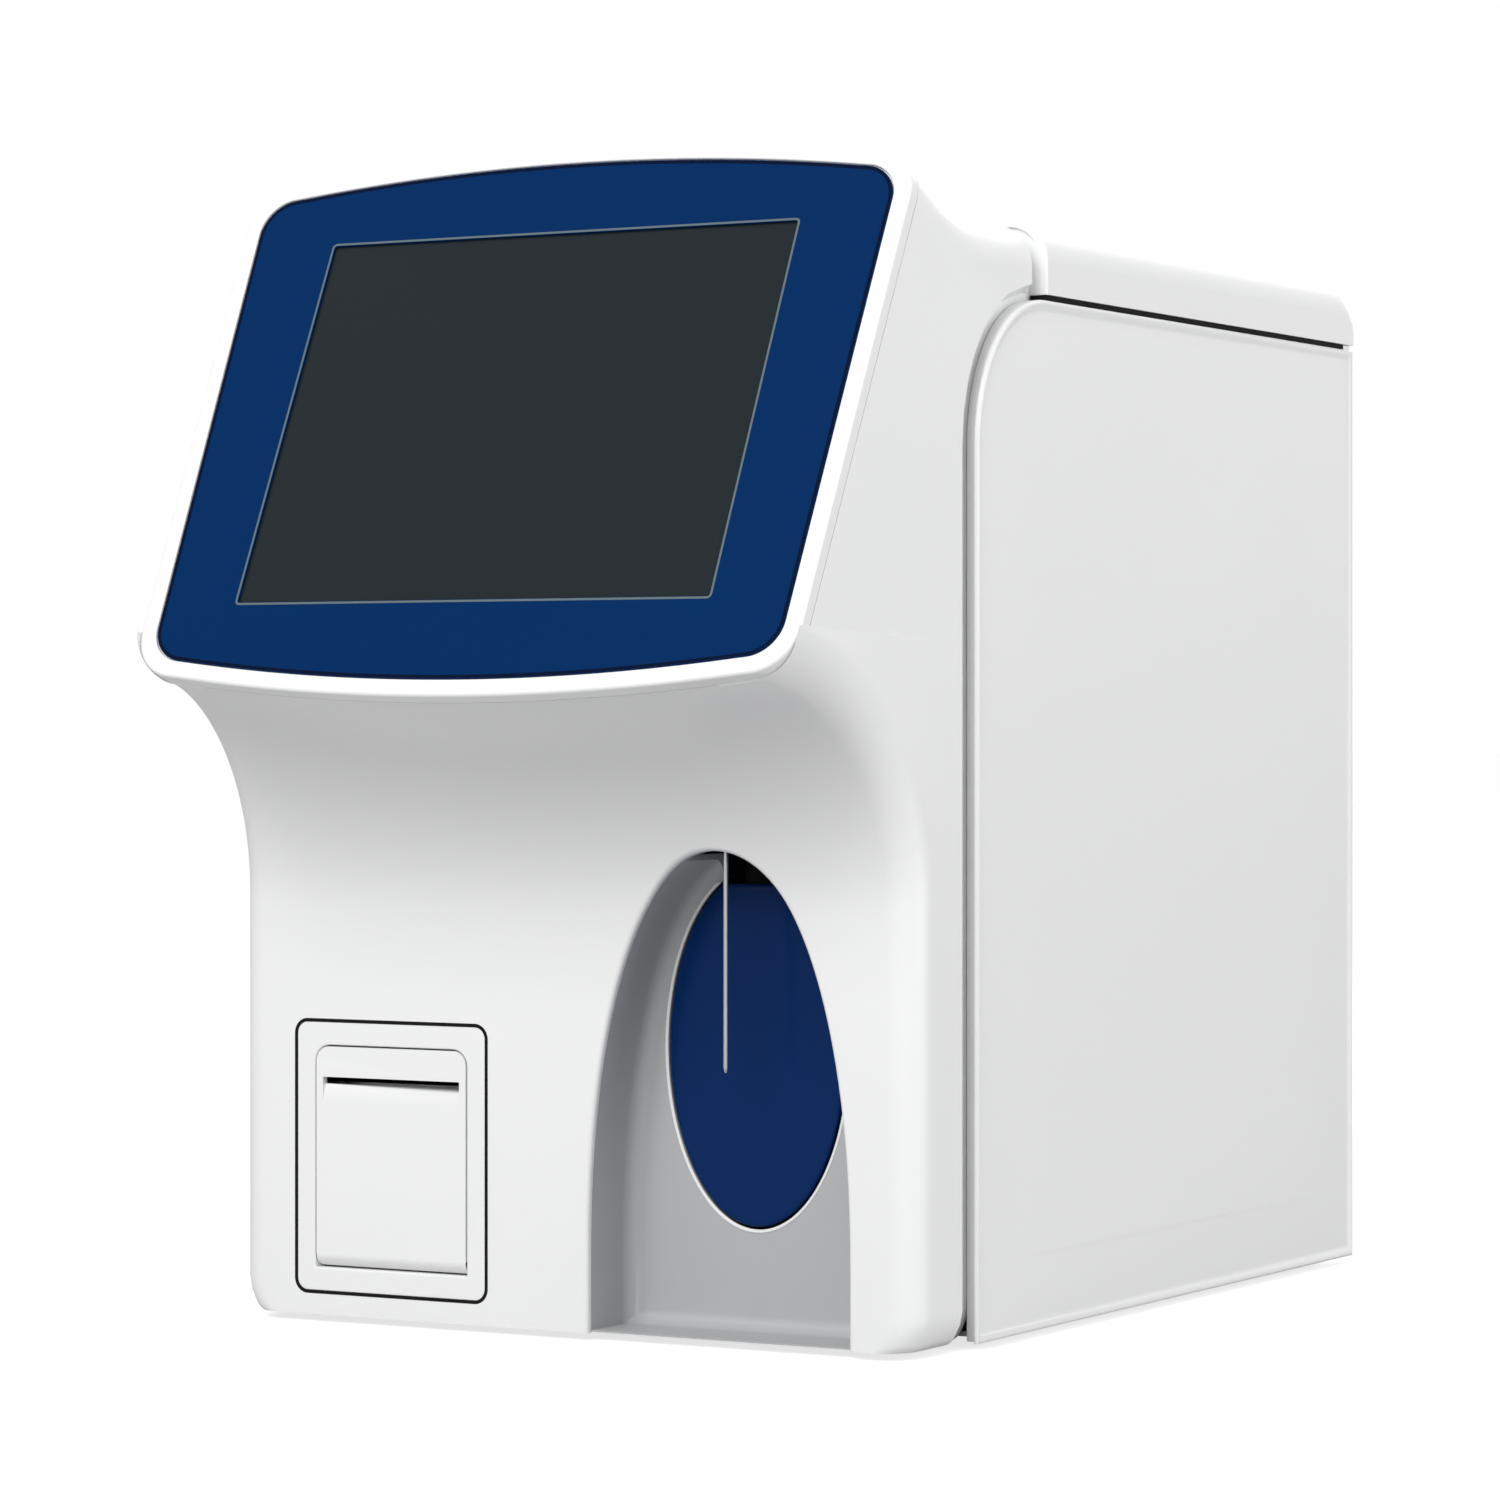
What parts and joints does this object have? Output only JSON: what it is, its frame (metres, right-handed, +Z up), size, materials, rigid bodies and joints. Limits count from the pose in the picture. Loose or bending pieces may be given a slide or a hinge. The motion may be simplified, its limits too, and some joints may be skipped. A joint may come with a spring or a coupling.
{
  "type": "veterinary hematology analyzer",
  "caption": "Benchtop blood analyzer with a tilted touch screen, an arched sampling bay with lifting probe and aspirate key, and a panel printer with hinged door.",
  "frame": {"origin": "bottom centre of the whole object's bounding box, on the plane its feet stand on", "axes": "+X to the right of someone facing the screen, +Y from the screen towards the back panel, +Z up"},
  "size_m": [0.317, 0.498, 0.4647],
  "materials": {
    "white_plastic": "smooth satin",
    "white_panel": "satin coat",
    "blue_overlay": "smooth film",
    "dark_glass": "polished, dark when off",
    "bay_grey": "satin",
    "key_navy": "glossy",
    "black_plastic": "moulded",
    "rubber": "matte",
    "steel": "ground",
    "plated_sheet": "zinc plated",
    "aluminium_case": "plain",
    "painted_sheet": "satin coat",
    "board_green": "solder mask",
    "clear_acrylic": "polished",
    "valve_blue": "moulded",
    "paper": "thermal paper"
  },
  "bodies": {
    "case": {"front_housing": "white_plastic", "screen_ring": "white_plastic", "screen_overlay": "blue_overlay", "touch_glass": "dark_glass", "display_module": "plated_sheet", "display_pan": "plated_sheet", "display_board": "board_green", "side_panel_left": "white_panel", "side_panel_right": "white_panel", "top_cover": "white_plastic", "cover_seal": "rubber", "base_plate": "plated_sheet", "foot_front_left": "rubber", "foot_front_right": "rubber", "foot_back_left": "rubber", "foot_back_right": "rubber", "sample_bay": "bay_grey", "key_bracket": "plated_sheet", "key_switch": "black_plastic", "guide_rod_left": "steel", "guide_rod_right": "steel", "lift_frame": "plated_sheet", "lift_motor": "black_plastic", "probe_wipe": "clear_acrylic", "printer_frame": "white_plastic", "printer_case": "black_plastic", "door_hinge_pin": "steel", "print_head": "plated_sheet", "fluid_plate": "plated_sheet", "count_bath_front": "clear_acrylic", "count_bath_back": "clear_acrylic", "valve_1": "valve_blue", "valve_2": "valve_blue", "valve_3": "valve_blue", "valve_4": "valve_blue", "syringe_barrel": "clear_acrylic", "syringe_drive": "black_plastic", "waste_pump": "black_plastic", "main_board": "board_green", "power_supply": "aluminium_case", "fan_frame": "black_plastic", "rear_panel": "painted_sheet", "power_inlet": "black_plastic", "switch_bezel": "black_plastic", "fluid_port_1": "black_plastic", "fluid_port_2": "black_plastic", "fluid_port_3": "black_plastic", "fluid_port_4": "black_plastic"},
    "lift": {"probe_carriage": "black_plastic", "sample_probe": "steel"},
    "screw": {"lift_screw": "steel"},
    "key": {"aspirate_key": "key_navy"},
    "door": {"printer_door": "white_plastic"},
    "platen": {"platen_roller": "rubber"},
    "roll": {"paper_roll": "paper"},
    "rotor": {"fan_rotor": "black_plastic"},
    "rocker": {"power_switch": "black_plastic"},
    "plunger": {"syringe_plunger": "steel"}
  },
  "joints": [
    {"name": "probe_lift", "type": "slide", "parent": "case", "child": "lift", "axis": [0, 0, 1], "range_m": [0, 0.078]},
    {"name": "lift_screw_turn", "type": "hinge", "parent": "case", "child": "screw", "pos_m": [0.0684, -0.09624, 0.262], "axis": [0, 0, 1], "range_deg": [0, 2341]},
    {"name": "key_press", "type": "slide", "parent": "case", "child": "key", "axis": [0, 1, 0], "range_m": [0, 0.002], "stiffness_N_per_m": 800, "springref_m": -0.001},
    {"name": "printer_door_swing", "type": "hinge", "parent": "case", "child": "door", "pos_m": [-0.08085, -0.15724, 0.0275], "axis": [1, 0, 0], "range_deg": [0, 90]},
    {"name": "platen_spin", "type": "hinge", "parent": "door", "child": "platen", "pos_m": [-0.08085, -0.15174, 0.0874], "axis": [1, 0, 0], "continuous": true},
    {"name": "paper_roll_spin", "type": "hinge", "parent": "case", "child": "roll", "pos_m": [-0.08085, -0.11974, 0.0467], "axis": [1, 0, 0], "continuous": true},
    {"name": "fan_spin", "type": "hinge", "parent": "case", "child": "rotor", "pos_m": [-0.075, 0.22276, 0.288], "axis": [0, 1, 0], "continuous": true},
    {"name": "power_switch_rock", "type": "hinge", "parent": "case", "child": "rocker", "pos_m": [-0.06, 0.23326, 0.063], "axis": [1, 0, 0], "range_deg": [-12, 12]},
    {"name": "syringe_stroke", "type": "slide", "parent": "case", "child": "plunger", "axis": [0, 0, 1], "range_m": [0, 0.03]}
  ],
  "couplings": [
    {"joint": "lift_screw_turn", "follows": "probe_lift", "rad_per_m": 523.6}
  ]
}
